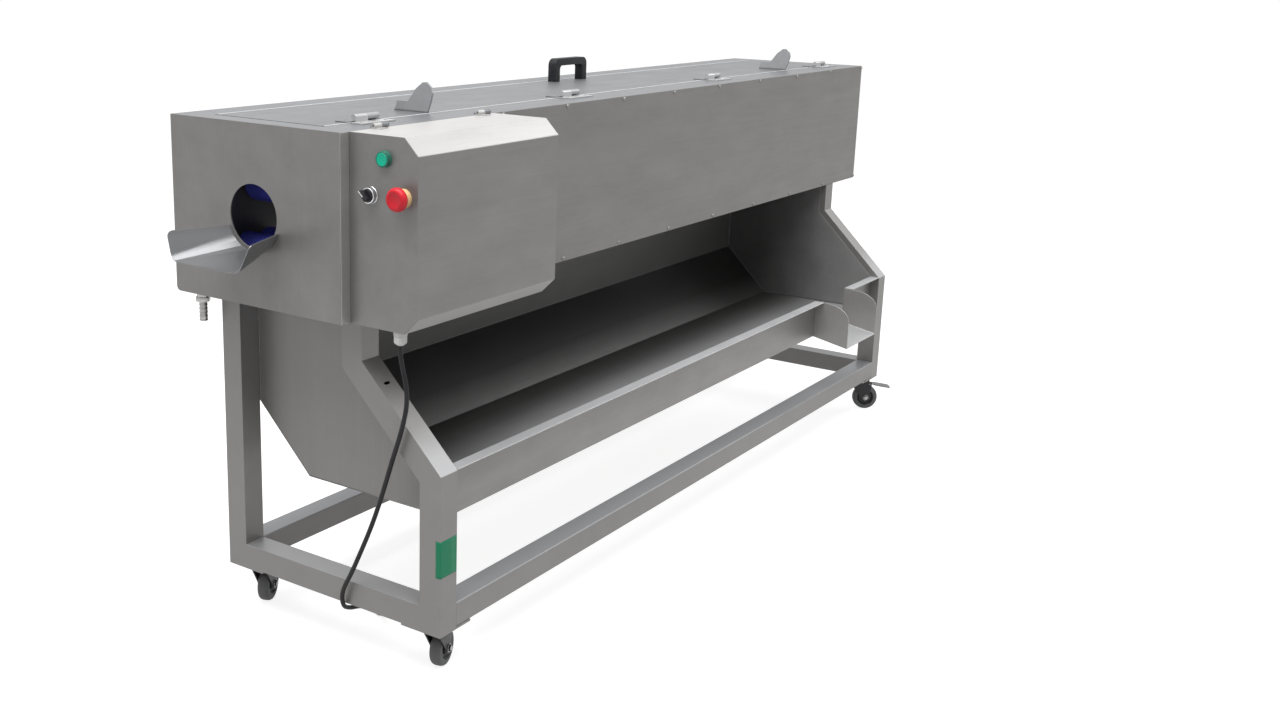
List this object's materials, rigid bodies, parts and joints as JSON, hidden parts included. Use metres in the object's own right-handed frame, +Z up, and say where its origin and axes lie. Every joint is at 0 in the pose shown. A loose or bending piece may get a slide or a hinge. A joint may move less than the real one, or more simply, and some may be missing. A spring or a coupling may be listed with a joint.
{
  "type": "vegetable peeling machine",
  "caption": "Long stainless floor-standing vegetable peeling machine: tunnel housing with feed tray and hinged lid, open peel trough with spout, tube frame on casters, control box.",
  "frame": {"origin": "on the floor under the centre of the machine's bounding box, cord left out", "axes": "+X along the machine from the feed tray to the outlet, +Y from the control box side to the back, +Z up"},
  "size_m": [2.535, 0.709, 1.103],
  "materials": {
    "steel": "brushed stainless sheet and tube",
    "machined_steel": "machined steel",
    "blue_rubber": "smooth blue roller covering",
    "black_plastic": "fine grained",
    "white_plastic": "nylon",
    "green_plastic": "glossy",
    "dark_green_plastic": "glossy",
    "chrome": "bright",
    "yellow_plastic": "satin",
    "red_plastic": "glossy",
    "motor_paint": "grey enamel",
    "caster_steel": "dark coating",
    "caster_rubber": "worn",
    "cord_rubber": "smooth"
  },
  "bodies": {
    "machine": {"left_end_frame": "steel", "right_end_frame": "steel", "front_bottom_rail": "steel", "back_bottom_rail": "steel", "peel_trough": "steel", "trough_left_end": "steel", "trough_right_end": "steel", "peel_spout": "steel", "inlet_end_plate": "steel", "outlet_end_plate": "steel", "front_panel": "steel", "back_panel": "steel", "top_rim": "steel", "feed_tray": "steel", "lid_hinge_1": "steel", "lid_hinge_2": "steel", "lid_hinge_3": "steel", "lid_hinge_4": "steel", "control_box_floor": "steel", "front_roller_beam": "steel", "back_roller_beam": "steel", "knife_head_1": "steel", "knife_head_2": "steel", "water_pipe": "machined_steel", "drive_chain": "machined_steel", "plug": "black_plastic", "cable_gland": "white_plastic", "gear_motor": "motor_paint", "power_cord": "cord_rubber", "cord_coil": "cord_rubber"},
    "lid": {"lid": "steel", "lid_handle": "black_plastic"},
    "control_cover": {"control_cover": "steel", "start_bezel": "dark_green_plastic", "selector_bezel": "chrome", "estop_base": "yellow_plastic"},
    "start_button": {"start_button": "green_plastic"},
    "selector_knob": {"selector_knob": "black_plastic"},
    "estop_head": {"estop_head": "red_plastic"},
    "drive_shaft": {"drive_shaft": "machined_steel"},
    "lower_roller_1": {"lower_roller_1": "blue_rubber"},
    "lower_roller_2": {"lower_roller_2": "blue_rubber"},
    "lower_roller_3": {"lower_roller_3": "blue_rubber"},
    "lower_roller_4": {"lower_roller_4": "blue_rubber"},
    "roller_arm_1": {"roller_arm_1": "machined_steel"},
    "upper_roller_1": {"upper_roller_1": "blue_rubber"},
    "roller_arm_2": {"roller_arm_2": "machined_steel"},
    "upper_roller_2": {"upper_roller_2": "blue_rubber"},
    "roller_arm_3": {"roller_arm_3": "machined_steel"},
    "upper_roller_3": {"upper_roller_3": "blue_rubber"},
    "caster_fork_front_left": {"caster_fork_front_left": "caster_steel"},
    "caster_wheel_front_left": {"caster_wheel_front_left": "caster_rubber"},
    "caster_fork_back_left": {"caster_fork_back_left": "caster_steel"},
    "caster_wheel_back_left": {"caster_wheel_back_left": "caster_rubber"},
    "caster_fork_front_right": {"caster_fork_front_right": "caster_steel"},
    "caster_wheel_front_right": {"caster_wheel_front_right": "caster_rubber"},
    "caster_fork_back_right": {"caster_fork_back_right": "caster_steel"},
    "caster_wheel_back_right": {"caster_wheel_back_right": "caster_rubber"},
    "brake_pedal_front_right": {"brake_pedal_front_right": "machined_steel"},
    "brake_pedal_back_right": {"brake_pedal_back_right": "machined_steel"}
  },
  "joints": [
    {"name": "lid_opening", "type": "hinge", "parent": "machine", "child": "lid", "pos_m": [0.0575, -0.0035, 1.051], "axis": [1, 0, 0], "range_deg": [0, 95]},
    {"name": "control_cover_opening", "type": "hinge", "parent": "machine", "child": "control_cover", "pos_m": [-0.91, -0.0915, 1.0463], "axis": [-1, 0, 0], "range_deg": [0, 95]},
    {"name": "start_button_press", "type": "slide", "parent": "control_cover", "child": "start_button", "axis": [1, 0, 0], "range_m": [0, 0.003], "stiffness_N_per_m": 400, "springref_m": -0.002},
    {"name": "selector_turn", "type": "hinge", "parent": "control_cover", "child": "selector_knob", "pos_m": [-1.1285, -0.1405, 0.933], "axis": [1, 0, 0], "range_deg": [0, 90]},
    {"name": "estop_press", "type": "slide", "parent": "control_cover", "child": "estop_head", "axis": [1, 0, 0], "range_m": [0, 0.005]},
    {"name": "drive_shaft_spin", "type": "hinge", "parent": "machine", "child": "drive_shaft", "pos_m": [-0.9375, -0.0875, 0.784], "axis": [0, 1, 0], "continuous": true},
    {"name": "lower_roller_1_spin", "type": "hinge", "parent": "machine", "child": "lower_roller_1", "pos_m": [-1.065, 0.1125, 0.784], "axis": [0, 1, 0], "continuous": true},
    {"name": "lower_roller_2_spin", "type": "hinge", "parent": "machine", "child": "lower_roller_2", "pos_m": [-1.005, 0.1125, 0.784], "axis": [0, 1, 0], "continuous": true},
    {"name": "lower_roller_3_spin", "type": "hinge", "parent": "machine", "child": "lower_roller_3", "pos_m": [0.0575, 0.1125, 0.784], "axis": [0, 1, 0], "continuous": true},
    {"name": "lower_roller_4_spin", "type": "hinge", "parent": "machine", "child": "lower_roller_4", "pos_m": [1.1775, 0.1125, 0.784], "axis": [0, 1, 0], "continuous": true},
    {"name": "roller_arm_1_lift", "type": "hinge", "parent": "machine", "child": "roller_arm_1", "pos_m": [-0.9325, 0.1125, 0.969], "axis": [0, 1, 0], "range_deg": [0, 25], "stiffness_Nm_per_rad": 5, "springref_deg": -17.19},
    {"name": "upper_roller_1_spin", "type": "hinge", "parent": "roller_arm_1", "child": "upper_roller_1", "pos_m": [-1.0325, 0.1125, 0.904], "axis": [0, 1, 0], "continuous": true},
    {"name": "roller_arm_2_lift", "type": "hinge", "parent": "machine", "child": "roller_arm_2", "pos_m": [0.1575, 0.1125, 0.969], "axis": [0, 1, 0], "range_deg": [0, 25], "stiffness_Nm_per_rad": 5, "springref_deg": -17.19},
    {"name": "upper_roller_2_spin", "type": "hinge", "parent": "roller_arm_2", "child": "upper_roller_2", "pos_m": [0.0575, 0.1125, 0.904], "axis": [0, 1, 0], "continuous": true},
    {"name": "roller_arm_3_lift", "type": "hinge", "parent": "machine", "child": "roller_arm_3", "pos_m": [1.2175, 0.1125, 0.969], "axis": [0, 1, 0], "range_deg": [0, 25], "stiffness_Nm_per_rad": 5, "springref_deg": -17.19},
    {"name": "upper_roller_3_spin", "type": "hinge", "parent": "roller_arm_3", "child": "upper_roller_3", "pos_m": [1.1175, 0.1125, 0.904], "axis": [0, 1, 0], "continuous": true},
    {"name": "caster_front_left_swivel", "type": "hinge", "parent": "machine", "child": "caster_fork_front_left", "pos_m": [-1.052, -0.231, 0.1], "axis": [0, 0, 1], "continuous": true},
    {"name": "caster_front_left_roll", "type": "hinge", "parent": "caster_fork_front_left", "child": "caster_wheel_front_left", "pos_m": [-1.02302, -0.22323, 0.0375], "axis": [-0.2588, 0.9659, 0], "continuous": true},
    {"name": "caster_back_left_swivel", "type": "hinge", "parent": "machine", "child": "caster_fork_back_left", "pos_m": [-1.052, 0.236, 0.1], "axis": [0, 0, 1], "continuous": true},
    {"name": "caster_back_left_roll", "type": "hinge", "parent": "caster_fork_back_left", "child": "caster_wheel_back_left", "pos_m": [-1.02481, 0.24868, 0.0375], "axis": [-0.4226, 0.9063, 0], "continuous": true},
    {"name": "caster_front_right_swivel", "type": "hinge", "parent": "machine", "child": "caster_fork_front_right", "pos_m": [1.056, -0.231, 0.1], "axis": [0, 0, 1], "continuous": true},
    {"name": "caster_front_right_roll", "type": "hinge", "parent": "caster_fork_front_right", "child": "caster_wheel_front_right", "pos_m": [1.07321, -0.25557, 0.0375], "axis": [0.8192, 0.5736, 0], "continuous": true},
    {"name": "brake_front_right_press", "type": "hinge", "parent": "caster_fork_front_right", "child": "brake_pedal_front_right", "pos_m": [1.07894, -0.26377, 0.0815], "axis": [0.8192, 0.5736, 0], "range_deg": [0, 10]},
    {"name": "caster_back_right_swivel", "type": "hinge", "parent": "machine", "child": "caster_fork_back_right", "pos_m": [1.056, 0.236, 0.1], "axis": [0, 0, 1], "continuous": true},
    {"name": "caster_back_right_roll", "type": "hinge", "parent": "caster_fork_back_right", "child": "caster_wheel_back_right", "pos_m": [1.08319, 0.24868, 0.0375], "axis": [-0.4226, 0.9063, 0], "continuous": true},
    {"name": "brake_back_right_press", "type": "hinge", "parent": "caster_fork_back_right", "child": "brake_pedal_back_right", "pos_m": [1.09225, 0.2529, 0.0815], "axis": [-0.4226, 0.9063, 0], "range_deg": [0, 10]}
  ],
  "couplings": [
    {"joint": "drive_shaft_spin", "follows": "lower_roller_1_spin", "ratio": 1},
    {"joint": "lower_roller_2_spin", "follows": "lower_roller_1_spin", "ratio": 1},
    {"joint": "lower_roller_3_spin", "follows": "lower_roller_1_spin", "ratio": 1},
    {"joint": "lower_roller_4_spin", "follows": "lower_roller_1_spin", "ratio": 1}
  ]
}
